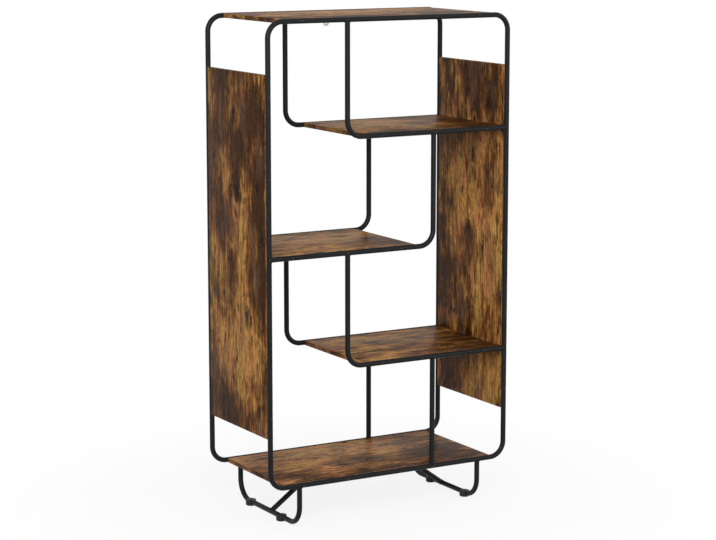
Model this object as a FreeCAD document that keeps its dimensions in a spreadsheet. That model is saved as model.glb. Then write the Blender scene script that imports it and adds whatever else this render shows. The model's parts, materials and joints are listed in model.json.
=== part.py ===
"""Shelving unit: two bent-tube frames, seven boards between them, two braced tube feet.

Millimetres, +Z up. The origin is on the floor under the middle of the unit,
X runs along the shelves to the right and Y runs from the front to the wall.
"""
import FreeCAD, Part
import Sketcher
import math
import os

SIZES = [
    # Steel tube and the two upright frames
    ("tube_diameter", 15, "outside diameter of every tube"),
    ("frame_width", 785, "between the centres of the left and right uprights"),
    ("frame_depth", 365, "between the centres of the front and rear frames"),
    ("frame_height", 1310, "between the centres of the bottom and top rails"),
    ("corner_radius", 45, "bend at the corners of the outer frames, to the tube's centre"),
    ("cope_reach", 5, "how far a coped end reaches past the near side of the tube it meets"),
    # Dividers
    ("divider_offset", 142, "upright of each divider from the middle of the unit"),
    ("shelf_bend_radius", 45, "bend from a divider's upright to its shelf rail"),
    # Boards
    ("board_thickness", 13, "top, bottom and shelf boards"),
    ("board_clearance", 0.3, "gap between a board and what it butts against"),
    ("edge_break", 0.8, "chamfer along every edge of a board"),
    ("end_margin", 2.5, "end of the top and bottom boards from the start of the corner bend"),
    ("shelf_setback", 12, "free end of a shelf from the end of the divider's bend"),
    ("panel_thickness", 13, "side panels"),
    ("panel_margin", 145, "ends of the side panels from the bottom and top rails"),
    # Feet, glides and braces
    ("foot_inset", 92.5, "each foot inwards from the uprights"),
    ("foot_drop", 117, "bar of the foot below the bottom rail, centre to centre"),
    ("foot_bend_radius", 55, "bends of the foot, to the tube's centre"),
    ("glide_diameter", 31, "moulded glide"),
    ("glide_height", 18.5, "moulded glide"),
    ("glide_sole", 12, "centre of the foot's bar above the floor"),
    ("glide_shoulder", 4, "bevel round the top of the glide"),
    ("glide_chamfer", 3.4, "chamfer round the sole of the glide"),
    ("glide_clearance", 0.2, "between the glide's groove and the bar"),
    ("glide_spacing", 190, "between the two glides of a foot"),
    ("glide_shift", 22, "middle of the two glides from the middle of the bar"),
    ("brace_shift", 9, "brace from the middle of the bar"),
    ("brace_run", 150, "head of each brace inwards from its foot"),
    ("plate_length", 50, "brace plate, front to back"),
    ("plate_width", 36, "brace plate, along the shelves"),
    ("plate_thickness", 3, "brace plate"),
    ("plate_corner", 6, "corner radius of the brace plate"),
    # Screws
    ("screw_diameter", 4, "shank"),
    ("screw_length", 38, "frame screw below its head"),
    ("plate_screw_length", 11, "brace plate screw below its head"),
    ("screw_head_diameter", 7, "head"),
    ("screw_head_height", 1.8, "head"),
    ("panel_screw_inset", 60, "end screws of a side panel from its ends"),
    ("board_screw_inset", 55, "end screws of a board from its free ends"),
    ("shelf_screw_inset", 72.5, "outer screw of a shelf from the upright that the shelf reaches"),
    ("plate_screw_pitch", 34, "between the two screws of a brace plate"),
    # Wall strap
    ("strap_width", 20, "wall strap"),
    ("strap_thickness", 2, "wall strap"),
    ("strap_top", 7, "upper end of the strap above the centre of the top rail"),
    ("strap_drop", 31, "wall hole below the centre of the top rail"),
    ("strap_hole_diameter", 6.5, "wall hole"),
    ("strap_end_radius", 9.5, "rounding of the lower end of the strap"),
    ("strap_top_radius", 3, "rounding of the upper corners of the strap"),
    # Room for cuts
    ("overrun", 10, "how far a cutting tool runs past what it cuts"),
]

# Places worked out from the sizes, each as one formula
PLACES = [
    ("tube_radius", "tube_diameter / 2"),
    ("bar_z", "glide_sole"),
    ("bottom_rail_z", "bar_z + foot_drop"),
    ("level_rise", "frame_height / 4"),
    ("lower_rail_z", "bottom_rail_z + level_rise"),
    ("middle_rail_z", "bottom_rail_z + 2 * level_rise"),
    ("upper_rail_z", "bottom_rail_z + 3 * level_rise"),
    ("top_rail_z", "bottom_rail_z + frame_height"),
    ("cope_depth", "tube_radius - cope_reach"),
    ("below_top_rail_z", "top_rail_z - cope_depth"),
    ("below_upper_rail_z", "upper_rail_z - cope_depth"),
    ("below_middle_rail_z", "middle_rail_z - cope_depth"),
    ("below_lower_rail_z", "lower_rail_z - cope_depth"),
    ("below_bottom_rail_z", "bottom_rail_z - cope_depth"),
    ("above_bottom_rail_z", "bottom_rail_z + cope_depth"),
    ("middle", "0"),
    ("right_upright_x", "frame_width / 2"),
    ("left_upright_x", "-right_upright_x"),
    ("right_end_x", "right_upright_x - cope_depth"),
    ("left_end_x", "-right_end_x"),
    ("right_divider_x", "divider_offset"),
    ("left_divider_x", "-divider_offset"),
    ("rear_frame_y", "frame_depth / 2"),
    ("front_frame_y", "-rear_frame_y"),
    ("right_foot_x", "right_upright_x - foot_inset"),
    ("left_foot_x", "-right_foot_x"),
    ("board_depth", "frame_depth - tube_diameter - 2 * board_clearance"),
    ("full_board_length", "frame_width - 2 * corner_radius - 2 * end_margin"),
    ("shelf_end_x", "right_upright_x - panel_thickness / 2 - board_clearance"),
    ("shelf_start_x", "shelf_bend_radius + shelf_setback - divider_offset"),
    ("shelf_length", "shelf_end_x - shelf_start_x"),
    ("shelf_middle_x", "(shelf_end_x + shelf_start_x) / 2"),
    ("panel_height", "frame_height - 2 * panel_margin"),
    ("panel_middle_z", "bottom_rail_z + frame_height / 2"),
    ("outer_screw_x", "full_board_length / 2 - board_screw_inset"),
    ("inner_screw_x", "outer_screw_x / 2"),
    ("shelf_inner_screw_x", "shelf_start_x + board_screw_inset"),
    ("shelf_outer_screw_x", "right_upright_x - shelf_screw_inset"),
    ("shelf_middle_screw_x", "(shelf_inner_screw_x + shelf_outer_screw_x) / 2"),
    ("panel_screw_pitch", "(panel_height / 2 - panel_screw_inset) / 2"),
    ("glide_radius", "glide_diameter / 2"),
    ("glide_rim", "glide_radius - glide_chamfer"),
    ("glide_crown", "glide_radius - glide_shoulder"),
    ("glide_shoulder_z", "glide_height - glide_shoulder"),
    ("groove_radius", "tube_radius + glide_clearance"),
    ("plate_top_z", "bottom_rail_z - board_thickness / 2"),
    ("plate_under_z", "plate_top_z - plate_thickness"),
    ("brace_head_x", "right_foot_x - brace_run"),
    ("brace_rise", "plate_under_z - bar_z"),
    ("brace_length", "sqrt(brace_run ^ 2 + brace_rise ^ 2)"),
    ("brace_sine", "brace_run / brace_length"),
    ("brace_cosine", "brace_rise / brace_length"),
    ("brace_lean", "asin(brace_sine) / 1 deg"),
    ("brace_start_x", "right_foot_x - cope_depth * brace_sine"),
    ("brace_start_z", "bar_z + cope_depth * brace_cosine"),
    ("screw_shank_radius", "screw_diameter / 2"),
    ("screw_head_radius", "screw_head_diameter / 2"),
    ("frame_face_y", "rear_frame_y + tube_radius"),
    ("strap_face_y", "frame_face_y + strap_thickness"),
    ("strap_side", "strap_width / 2"),
    ("strap_other_side", "-strap_side"),
    ("strap_foot_z", "-strap_drop - strap_side"),
    ("strap_hole_z", "-strap_drop"),
    ("strap_hole_radius", "strap_hole_diameter / 2"),
    ("plate_side", "plate_width / 2"),
    ("plate_other_side", "-plate_side"),
    ("plate_end", "plate_length / 2"),
    ("plate_other_end", "-plate_end"),
]

# Flat sides of the screws, and how near a bent tube's volume is to its section times its path
HEAD_SIDES = 12
SHANK_SIDES = 6
TUBE_VOLUME_SHARE = 0.001
UP = FreeCAD.Vector(0, 0, 1)
ALONG_X = FreeCAD.Vector(1, 0, 0)
ALONG_Y = FreeCAD.Vector(0, 1, 0)

doc = FreeCAD.newDocument("ShelvingUnit")
sheet = doc.addObject("Spreadsheet::Sheet", "Sizes")
for row, (alias, value, meaning) in enumerate(SIZES, start=1):
    sheet.set(f"A{row}", meaning)
    sheet.set(f"B{row}", str(value))
    sheet.setAlias(f"B{row}", alias)
places = doc.addObject("App::VarSet", "Places")
WORDS = {alias: f"Sizes.{alias}" for alias, value, meaning in SIZES}
WORDS.update({name: f"Places.{name}" for name, text in PLACES})


def formula(text):
    """The text with each size or place named where it is kept."""
    spaced = text.replace("(", "( ").replace(")", " )").replace("-", "- ")
    return " ".join(WORDS.get(word, word) for word in spaced.split())


for name, text in PLACES:
    places.addProperty("App::PropertyFloat", name, "Places", text)
    places.setExpression(name, formula(text))
doc.recompute()


def worth(name):
    """The present value of a size or a place."""
    if name in places.PropertiesList:
        return getattr(places, name)
    return float(sheet.get(name))


def bind(thing, **formulas):
    """Tie properties of an object to the sheet; two underscores stand for a dot."""
    for prop, text in formulas.items():
        thing.setExpression(prop.replace("__", "."), formula(text))


def put(thing, x="0", y="0", z="0", axis=UP, angle="0"):
    """Place an object at named coordinates, turned about an axis."""
    turned = FreeCAD.Rotation(axis, 1)
    thing.Placement = FreeCAD.Placement(FreeCAD.Vector(), turned)
    bind(thing, Placement__Rotation__Angle=angle)
    bind(thing, Placement__Base__x=x, Placement__Base__y=y, Placement__Base__z=z)
    return thing


def new_sketch(body, name, role):
    """A sketch on one of the body's own origin planes."""
    plane = next(p for p in body.Origin.OriginFeatures if p.Role == role)
    sketch = body.newObject("Sketcher::SketchObject", name)
    sketch.AttachmentSupport = [(plane, "")]
    sketch.MapMode = "FlatFace"
    return sketch


def fix_point(sketch, geometry, end, across, along):
    """Hold one point of a sketch at two named coordinates."""
    for kind, name in (("DistanceX", across), ("DistanceY", along)):
        held = sketch.addConstraint(Sketcher.Constraint(kind, geometry, end, worth(name)))
        sketch.setExpression(f"Constraints[{held}]", formula(name))


def draw_outline(sketch, corners, closed=False):
    """Straight runs from corner to corner, rounded where a corner names a radius."""
    points = [FreeCAD.Vector(worth(x), worth(y), 0) for x, y, radius in corners]
    count = len(corners)
    lines = []
    for i in range(count if closed else count - 1):
        start, end = points[i], points[(i + 1) % count]
        heading = (end - start).normalize()
        start_cut = tangent_length(points, i, corners, closed)
        end_cut = tangent_length(points, (i + 1) % count, corners, closed)
        run = Part.LineSegment(start + heading * start_cut, end - heading * end_cut)
        lines.append(sketch.addGeometry(run))
    for i, (x, y, radius) in enumerate(corners):
        if not closed and i == 0:
            fix_point(sketch, lines[0], 1, x, y)
        elif not closed and i == count - 1:
            fix_point(sketch, lines[-1], 2, x, y)
        elif radius is None:
            sketch.addConstraint(Sketcher.Constraint("Coincident", lines[i - 1], 2, lines[i], 1))
            fix_point(sketch, lines[i], 1, x, y)
        else:
            round_corner(sketch, lines[i - 1], lines[i], points[i], (x, y, radius))


def tangent_length(points, i, corners, closed):
    """How much of a run the arc at its corner takes."""
    radius = corners[i][2]
    if radius is None or (not closed and i in (0, len(points) - 1)):
        return 0
    before = points[i] - points[i - 1]
    after = points[(i + 1) % len(points)] - points[i]
    return worth(radius) * math.tan(before.getAngle(after) / 2)


def round_corner(sketch, before, after, corner, named):
    """An arc tangent to two runs, with the sharp corner kept as a construction point."""
    x, y, radius = named
    first = sketch.Geometry[before].EndPoint
    last = sketch.Geometry[after].StartPoint
    chord = (first + last) * 0.5 - corner
    reach = chord.Length
    half_corner = math.acos(reach / (first - corner).Length)
    centre = corner + chord.normalize() * worth(radius) / math.sin(half_corner)
    start_angle = math.atan2(first.y - centre.y, first.x - centre.x)
    end_angle = math.atan2(last.y - centre.y, last.x - centre.x)
    turn = (end_angle - start_angle) % (2 * math.pi)
    anticlockwise = turn < math.pi
    circle = Part.Circle(centre, UP, worth(radius))
    if anticlockwise:
        arc = sketch.addGeometry(Part.ArcOfCircle(circle, start_angle, start_angle + turn))
    else:
        arc = sketch.addGeometry(Part.ArcOfCircle(circle, end_angle, end_angle + 2 * math.pi - turn))
    first_end, last_end = (1, 2) if anticlockwise else (2, 1)
    sketch.addConstraint(Sketcher.Constraint("Tangent", before, 2, arc, first_end))
    sketch.addConstraint(Sketcher.Constraint("Tangent", arc, last_end, after, 1))
    held = sketch.addConstraint(Sketcher.Constraint("Radius", arc, worth(radius)))
    sketch.setExpression(f"Constraints[{held}]", formula(radius))
    point = sketch.addGeometry(Part.Point(corner), True)
    sketch.addConstraint(Sketcher.Constraint("PointOnObject", point, 1, before))
    sketch.addConstraint(Sketcher.Constraint("PointOnObject", point, 1, after))
    fix_point(sketch, point, 1, x, y)


def draw_circle(sketch, across, along, radius):
    """A circle at a named centre."""
    centre = FreeCAD.Vector(worth(across), worth(along), 0)
    circle = sketch.addGeometry(Part.Circle(centre, UP, worth(radius)))
    held = sketch.addConstraint(Sketcher.Constraint("Radius", circle, worth(radius)))
    sketch.setExpression(f"Constraints[{held}]", formula(radius))
    fix_point(sketch, circle, 3, across, along)


def bent_tube(label, path_plane, corners, section_plane, section_at, start, closed=False):
    """A tube swept along an outline; its section stands on the first point of the path."""
    body = doc.addObject("PartDesign::Body", label)
    path = new_sketch(body, f"{label}_path", path_plane)
    draw_outline(path, corners, closed)
    section = new_sketch(body, f"{label}_section", section_plane)
    draw_circle(section, *section_at, "tube_radius")
    bind(section, AttachmentOffset__Base__z=start)
    pipe = body.newObject("PartDesign::AdditivePipe", f"{label}_tube")
    pipe.Profile = section
    pipe.Spine = (path, [])
    return body


def solid_plate(label, plane, corners, thickness, holes=()):
    """A flat piece padded to both sides of its outline."""
    body = doc.addObject("PartDesign::Body", label)
    sketch = new_sketch(body, f"{label}_outline", plane)
    draw_outline(sketch, corners, closed=True)
    for across, along, radius in holes:
        draw_circle(sketch, across, along, radius)
    pad = body.newObject("PartDesign::Pad", f"{label}_pad")
    pad.Profile = sketch
    pad.SideType = "Symmetric"
    bind(pad, Length=thickness)
    return body


def rod(label, radius, length, axis=UP, **at):
    """A round bar, standing, or laid along X or Y and centred on its place."""
    bar = doc.addObject("Part::Cylinder", label)
    bind(bar, Radius=radius, Height=length)
    if axis is ALONG_X:
        at = {**at, "x": f"{at.get('x', '0')} - {length} / 2"}
        return put(bar, axis=ALONG_Y, angle="90", **at)
    if axis is ALONG_Y:
        at = {**at, "y": f"{at.get('y', '0')} - {length} / 2"}
        return put(bar, axis=ALONG_X, angle="-90", **at)
    at = {**at, "z": f"{at.get('z', '0')} - {length} / 2"}
    return put(bar, **at)


def compound(label, members):
    """Separate solids kept together."""
    group = doc.addObject("Part::Compound", label)
    group.Links = members
    return group


def cut(label, base, tools):
    """The base less every tool."""
    piece = doc.addObject("Part::Cut", label)
    piece.Base = base
    piece.Tool = tools[0] if len(tools) == 1 else compound(f"{label}_tools", tools)
    return piece


def outer_frame(label, y, tools):
    """A closed loop of tube with four bent corners, its weld in the middle of the bottom rail."""
    corners = [
        ("middle", "bottom_rail_z", None),
        ("right_upright_x", "bottom_rail_z", "corner_radius"),
        ("right_upright_x", "top_rail_z", "corner_radius"),
        ("left_upright_x", "top_rail_z", "corner_radius"),
        ("left_upright_x", "bottom_rail_z", "corner_radius"),
    ]
    section_at = ("middle", "bottom_rail_z")
    loop = bent_tube(f"{label}_loop", "XZ_Plane", corners, "YZ_Plane", section_at, "0", closed=True)
    return cut(label, put(loop, y=y), tools)


def rail_cope(label, y, z):
    """The rail that the end of an upright tube is coped to."""
    return rod(label, "tube_radius", "frame_width", ALONG_X, y=y, z=z)


def upright_cope(label, x, y):
    """The upright that the end of a shelf rail is coped to."""
    return rod(label, "tube_radius", "frame_height", x=x, y=y, z="middle_rail_z")


def divider(label, y, hangs_from, hung_at, x, rail_z, end_x, upright_x, tools):
    """A tube that hangs from a rail, bends and runs on as a shelf rail to an upright."""
    corners = [
        (x, hung_at, None),
        (x, rail_z, "shelf_bend_radius"),
        (end_x, rail_z, None),
    ]
    tube = bent_tube(f"{label}_tube", "XZ_Plane", corners, "XY_Plane", (x, "middle"), hung_at)
    copes = [
        rail_cope(f"{label}_upper_cope", y, hangs_from),
        upright_cope(f"{label}_side_cope", upright_x, y),
    ]
    return cut(label, put(tube, y=y), copes + tools)


def base_post(label, y):
    """The short straight tube between the bottom rail and the lower shelf's rail."""
    post = doc.addObject("Part::Cylinder", f"{label}_tube")
    bind(post, Radius="tube_radius", Height="below_lower_rail_z - above_bottom_rail_z")
    put(post, x="right_divider_x", y=y, z="above_bottom_rail_z")
    copes = [
        rail_cope(f"{label}_upper_cope", y, "lower_rail_z"),
        rail_cope(f"{label}_lower_cope", y, "bottom_rail_z"),
    ]
    return cut(label, post, copes)


def board(label, length, middle_x, z, tools):
    """A board that lies between the front and rear rails, its edges eased."""
    body = doc.addObject("PartDesign::Body", f"{label}_blank")
    eased_board(body, "XY_Plane", length, "board_depth", "board_thickness")
    return cut(label, put(body, x=middle_x, z=z), tools)


def side_panel(label, x, tools):
    """A panel that stands between the front and rear uprights."""
    body = doc.addObject("PartDesign::Body", f"{label}_blank")
    eased_board(body, "YZ_Plane", "board_depth", "panel_height", "panel_thickness")
    return cut(label, put(body, x=x, z="panel_middle_z"), tools)


def eased_board(body, role, across, along, thickness):
    """A centred rectangle padded to both sides, with every edge chamfered."""
    sketch = new_sketch(body, f"{body.Label}_outline", role)
    centred_rectangle(sketch, across, along)
    pad = body.newObject("PartDesign::Pad", f"{body.Label}_pad")
    pad.Profile = sketch
    pad.SideType = "Symmetric"
    bind(pad, Length=thickness)
    doc.recompute()
    easing = body.newObject("PartDesign::Chamfer", f"{body.Label}_easing")
    easing.Base = (pad, [])
    easing.UseAllEdges = True
    bind(easing, Size="edge_break")


def centred_rectangle(sketch, across, along):
    """A rectangle about the sketch's origin."""
    half_across, half_along = worth(across) / 2, worth(along) / 2
    corners = [
        FreeCAD.Vector(-half_across, -half_along, 0),
        FreeCAD.Vector(half_across, -half_along, 0),
        FreeCAD.Vector(half_across, half_along, 0),
        FreeCAD.Vector(-half_across, half_along, 0),
    ]
    sides = [
        sketch.addGeometry(Part.LineSegment(corners[i], corners[(i + 1) % len(corners)]))
        for i in range(len(corners))
    ]
    for i, side in enumerate(sides):
        sketch.addConstraint(Sketcher.Constraint("Coincident", sides[i - 1], 2, side, 1))
        sketch.addConstraint(Sketcher.Constraint("Vertical" if i % 2 else "Horizontal", side))
    bottom, right, top = sides[:3]
    sketch.addConstraint(Sketcher.Constraint("Symmetric", bottom, 1, top, 1, -1, 1))
    for kind, side, size in (("DistanceX", bottom, across), ("DistanceY", right, along)):
        held = sketch.addConstraint(Sketcher.Constraint(kind, side, 1, side, 2, worth(size)))
        sketch.setExpression(f"Constraints[{held}]", formula(size))


def foot(label, x):
    """A U of tube welded under the two bottom rails."""
    corners = [
        ("front_frame_y", "below_bottom_rail_z", None),
        ("front_frame_y", "bar_z", "foot_bend_radius"),
        ("rear_frame_y", "bar_z", "foot_bend_radius"),
        ("rear_frame_y", "below_bottom_rail_z", None),
    ]
    section_at = ("middle", "front_frame_y")
    tube = bent_tube(
        f"{label}_tube", "YZ_Plane", corners, "XY_Plane", section_at, "below_bottom_rail_z"
    )
    copes = [
        rail_cope(f"{label}_{end}_cope", f"{end}_frame_y", "bottom_rail_z")
        for end in ("front", "rear")
    ]
    return cut(label, put(tube, x=x), copes)


def glide(label, x, y):
    """A moulded puck with a bevelled shoulder, grooved to snap on the foot's bar."""
    puck = doc.addObject("PartDesign::Body", f"{label}_puck")
    profile = new_sketch(puck, f"{label}_profile", "XZ_Plane")
    corners = [
        ("middle", "middle", None),
        ("glide_rim", "middle", None),
        ("glide_radius", "glide_chamfer", None),
        ("glide_radius", "glide_shoulder_z", None),
        ("glide_crown", "glide_height", None),
        ("middle", "glide_height", None),
    ]
    draw_outline(profile, corners, closed=True)
    turned = puck.newObject("PartDesign::Revolution", f"{label}_turned")
    turned.Profile = profile
    turned.ReferenceAxis = (profile, ["V_Axis"])
    turned.Angle = 360
    put(puck, x=x, y=y)
    length = "glide_diameter + overrun"
    groove = rod(f"{label}_groove", "groove_radius", length, ALONG_Y, x=x, y=y, z="bar_z")
    return cut(label, puck, [groove])


# The way each kind of screw is driven: the turn from upright and where its head lies
HEADINGS = {
    "rearwards": {"angle": "-90", "head": ("y", "- screw_head_height")},
    "forwards": {"angle": "90", "head": ("y", "+ screw_head_height")},
    "upwards": {"angle": "0", "head": ("z", "- screw_head_height")},
}
FRAME_SIDES = [("front", "rearwards", "-frame_face_y"), ("rear", "forwards", "frame_face_y")]


def prism(label, sides, radius, height, angle, at):
    """A bar with flat sides, standing or laid front to back."""
    bar = doc.addObject("Part::Prism", label)
    bar.Polygon = sides
    bind(bar, Circumradius=radius, Height=height)
    return put(bar, axis=ALONG_X, angle=angle, **at)


def screw(label, length, heading, x, y, z):
    """One screw whose head seats at the named place, and its shank alone for cutting its hole."""
    seat = {"x": x, "y": y, "z": z}
    way = HEADINGS[heading]
    axis, back = way["head"]
    head_at = {**seat, axis: f"{seat[axis]} {back}"}
    shank = prism(f"{label}_shank", SHANK_SIDES, "screw_shank_radius", length, way["angle"], seat)
    head = prism(
        f"{label}_head", HEAD_SIDES, "screw_head_radius", "screw_head_height", way["angle"], head_at
    )
    whole = doc.addObject("Part::MultiFuse", label)
    whole.Shapes = [head, shank]
    return whole, shank


def screws(label, spots, length="screw_length"):
    """Identical screws as separate solids of one piece, and their shanks by heading."""
    made = []
    shanks = {heading: [] for heading in HEADINGS}
    for number, (heading, x, y, z) in enumerate(spots, start=1):
        whole, shank = screw(f"{label}_{number}", length, heading, x, y, z)
        made.append(whole)
        shanks[heading].append(shank)
    return compound(label, made), shanks


def through_both_frames(spots):
    """The same screws driven from the front and from the rear."""
    return [(heading, x, face, z) for end, heading, face in FRAME_SIDES for x, z in spots]


def brace(label, side, x_sign):
    """A slanted tube, coped to the foot's bar and cut flat under its plate."""
    y = f"{x_sign} brace_shift"
    slant = doc.addObject("Part::Cylinder", f"{label}_tube")
    bind(slant, Radius="tube_radius", Height="brace_length + 2 * tube_diameter")
    lean = "brace_lean" if side == "left" else "-brace_lean"
    put(slant, x=f"{x_sign} brace_start_x", y=y, z="brace_start_z", axis=ALONG_Y, angle=lean)
    above = doc.addObject("Part::Box", f"{label}_above_plate")
    bind(above, Length="2 * brace_run", Width="2 * tube_diameter")
    bind(above, Height="2 * tube_diameter + overrun")
    corner_x = f"{x_sign} brace_head_x - brace_run"
    put(above, x=corner_x, y=f"{y} - tube_diameter", z="plate_under_z")
    bar = rod(f"{label}_cope", "tube_radius", "frame_depth", ALONG_Y, x=f"{side}_foot_x", z="bar_z")
    return cut(label, slant, [above, bar])


def brace_plate(label, x_sign, tools):
    """A flat plate with rounded corners, screwed under the bottom board."""
    corners = [
        ("plate_other_side", "plate_other_end", "plate_corner"),
        ("plate_side", "plate_other_end", "plate_corner"),
        ("plate_side", "plate_end", "plate_corner"),
        ("plate_other_side", "plate_end", "plate_corner"),
    ]
    blank = solid_plate(f"{label}_blank", "XY_Plane", corners, "plate_thickness")
    middle_z = "plate_top_z - plate_thickness / 2"
    put(blank, x=f"{x_sign} brace_head_x", y=f"{x_sign} brace_shift", z=middle_z)
    return cut(label, blank, tools)


def wall_strap(label, tools):
    """A strip behind the top rail, with a round end and a hole for the wall fixing."""
    corners = [
        ("strap_other_side", "strap_foot_z", "strap_end_radius"),
        ("strap_side", "strap_foot_z", "strap_end_radius"),
        ("strap_side", "strap_top", "strap_top_radius"),
        ("strap_other_side", "strap_top", "strap_top_radius"),
    ]
    hole = ("middle", "strap_hole_z", "strap_hole_radius")
    blank = solid_plate(f"{label}_blank", "XZ_Plane", corners, "strap_thickness", [hole])
    put(blank, y="frame_face_y + strap_thickness / 2", z="top_rail_z")
    return cut(label, blank, tools)


def fasteners():
    """Every group of screws: the piece and its shanks by heading."""
    groups = {}
    for side in ("left", "right"):
        heights = [f"panel_middle_z + {step} * panel_screw_pitch" for step in (-2, -1, 0, 1, 2)]
        spots = [(f"{side}_upright_x", height) for height in heights]
        groups[f"{side}_panel"] = screws(f"{side}_panel_screws", through_both_frames(spots))
    places_along = ("-outer_screw_x", "-inner_screw_x", "inner_screw_x", "outer_screw_x")
    for level in ("top", "bottom"):
        spots = [(x, f"{level}_rail_z") for x in places_along]
        groups[f"{level}_board"] = screws(f"{level}_board_screws", through_both_frames(spots))
    for level, sign in (("upper", "+"), ("middle", "-"), ("lower", "+")):
        spots = [
            (f"{sign} shelf_{which}_screw_x", f"{level}_rail_z")
            for which in ("inner", "middle", "outer")
        ]
        groups[f"{level}_shelf"] = screws(f"{level}_shelf_screws", through_both_frames(spots))
    plate_spots = [
        (
            "upwards",
            f"{x_sign} brace_head_x",
            f"{x_sign} brace_shift {step} plate_screw_pitch / 2",
            "plate_under_z",
        )
        for x_sign in ("-", "+")
        for step in ("-", "+")
    ]
    groups["plate"] = screws("brace_plate_screws", plate_spots, "plate_screw_length")
    strap_spot = ("forwards", "middle", "strap_face_y", "top_rail_z")
    groups["strap"] = screws("wall_strap_screw", [strap_spot])
    return groups


def shelving_unit():
    """Every piece of the unit, in the order in which it is put together."""
    groups = fasteners()
    shanks = {name: cutters for name, (piece, cutters) in groups.items()}
    pieces = []
    for end, heading, face in FRAME_SIDES:
        y = f"{end}_frame_y"
        loop_holes = [
            shank
            for name in ("left_panel", "right_panel", "top_board", "bottom_board")
            for shank in shanks[name][heading]
        ]
        if end == "rear":
            loop_holes += shanks["strap"][heading]
        pieces.append(outer_frame(f"{end}_outer_frame", y, loop_holes))
        for level, above, side, far in (
            ("upper", "top", "left", "right"),
            ("middle", "upper", "right", "left"),
            ("lower", "middle", "left", "right"),
        ):
            pieces.append(
                divider(
                    f"{end}_{level}_divider",
                    y,
                    f"{above}_rail_z",
                    f"below_{above}_rail_z",
                    f"{side}_divider_x",
                    f"{level}_rail_z",
                    f"{far}_end_x",
                    f"{far}_upright_x",
                    shanks[f"{level}_shelf"][heading],
                )
            )
        pieces.append(base_post(f"{end}_base_post", y))

    both = {name: cutters["rearwards"] + cutters["forwards"] for name, cutters in shanks.items()}
    length = "full_board_length"
    top_holes = both["top_board"] + both["strap"]
    bottom_holes = both["bottom_board"] + shanks["plate"]["upwards"]
    pieces.append(board("top_board", length, "middle", "top_rail_z", top_holes))
    for level, sign in (("upper", "+"), ("middle", "-"), ("lower", "+")):
        middle_x = f"{sign} shelf_middle_x"
        holes = both[f"{level}_shelf"]
        pieces.append(board(f"{level}_shelf", "shelf_length", middle_x, f"{level}_rail_z", holes))
    pieces.append(board("bottom_board", length, "middle", "bottom_rail_z", bottom_holes))
    for side in ("left", "right"):
        holes = both[f"{side}_panel"]
        pieces.append(side_panel(f"{side}_side_panel", f"{side}_upright_x", holes))

    left_plate_holes = shanks["plate"]["upwards"][:2]
    right_plate_holes = shanks["plate"]["upwards"][2:]
    glides = []
    for side, x_sign, holes in (("left", "-", left_plate_holes), ("right", "+", right_plate_holes)):
        pieces.append(foot(f"{side}_foot", f"{side}_foot_x"))
        shift = "glide_shift" if side == "left" else "-glide_shift"
        for end, way in (("front", "-"), ("rear", "+")):
            y = f"{shift} {way} glide_spacing / 2"
            glides.append(glide(f"{side}_{end}_glide", f"{side}_foot_x", y))
        pieces.append(brace(f"{side}_brace", side, x_sign))
        pieces.append(brace_plate(f"{side}_brace_plate", x_sign, holes))
    pieces.append(compound("glides", glides))
    pieces.append(wall_strap("wall_strap", shanks["strap"]["forwards"]))
    pieces += [piece for piece, cutters in groups.values()]
    return pieces


def check(pieces):
    """Stop before anything is written if an object failed or a piece isn't sound."""
    for thing in doc.Objects:
        if "Invalid" in thing.State or "Error" in thing.State:
            raise RuntimeError(f"{thing.Label} failed: {thing.State}")
    for piece in pieces:
        if piece.Shape.isNull() or not piece.Shape.isValid() or not piece.Shape.Solids:
            raise RuntimeError(f"{piece.Label} isn't a sound solid")


def check_tubes():
    """A bent tube holds its section times the length of its path."""
    for body in doc.Objects:
        if body.TypeId != "PartDesign::Body" or body.Tip.TypeId != "PartDesign::AdditivePipe":
            continue
        section, path = body.Tip.Profile[0], body.Tip.Spine[0]
        expected = Part.Face(section.Shape.Wires).Area * path.Shape.Length
        if abs(body.Shape.Volume / expected - 1) > TUBE_VOLUME_SHARE:
            raise RuntimeError(f"{body.Label} doesn't fill its path")


def write(pieces):
    """One STEP file for each piece."""
    os.makedirs("parts", exist_ok=True)
    for piece in pieces:
        piece.Shape.exportStep(f"parts/{piece.Label}.step")
        print(f"{piece.Label}: {len(piece.Shape.Solids)} solids, {piece.Shape.Volume:.0f} mm3")


pieces = shelving_unit()
doc.recompute()
check(pieces)
check_tubes()
write(pieces)
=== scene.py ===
"""Looks of the shelving unit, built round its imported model.

Metres, in the model's own frame: the origin is on the floor under the middle of the unit,
X runs along the shelves to the right and Y runs from the front to the wall.
"""
import json
import math
from typing import NamedTuple

import bmesh
import bpy
from bpy.props import FloatProperty, FloatVectorProperty, IntProperty, PointerProperty
from mathutils import Euler, Matrix, Vector


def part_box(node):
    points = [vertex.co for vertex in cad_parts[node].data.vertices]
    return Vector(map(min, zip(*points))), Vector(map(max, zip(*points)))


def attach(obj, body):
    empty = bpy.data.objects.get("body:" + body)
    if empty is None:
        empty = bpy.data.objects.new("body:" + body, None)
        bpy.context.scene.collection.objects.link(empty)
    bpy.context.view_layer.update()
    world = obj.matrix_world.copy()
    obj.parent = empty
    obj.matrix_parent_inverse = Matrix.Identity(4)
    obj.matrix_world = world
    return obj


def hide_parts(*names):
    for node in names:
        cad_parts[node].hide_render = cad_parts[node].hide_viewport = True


bl_info = {
    "name": "Shelving Unit",
    "version": (1, 0, 0),
    "blender": (4, 5, 0),
    "location": "View3D > Sidebar > Shelving Unit",
    "description": "Bent tube frames, rustic boards and fittings of a shelving unit",
    "category": "Object",
}

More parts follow.
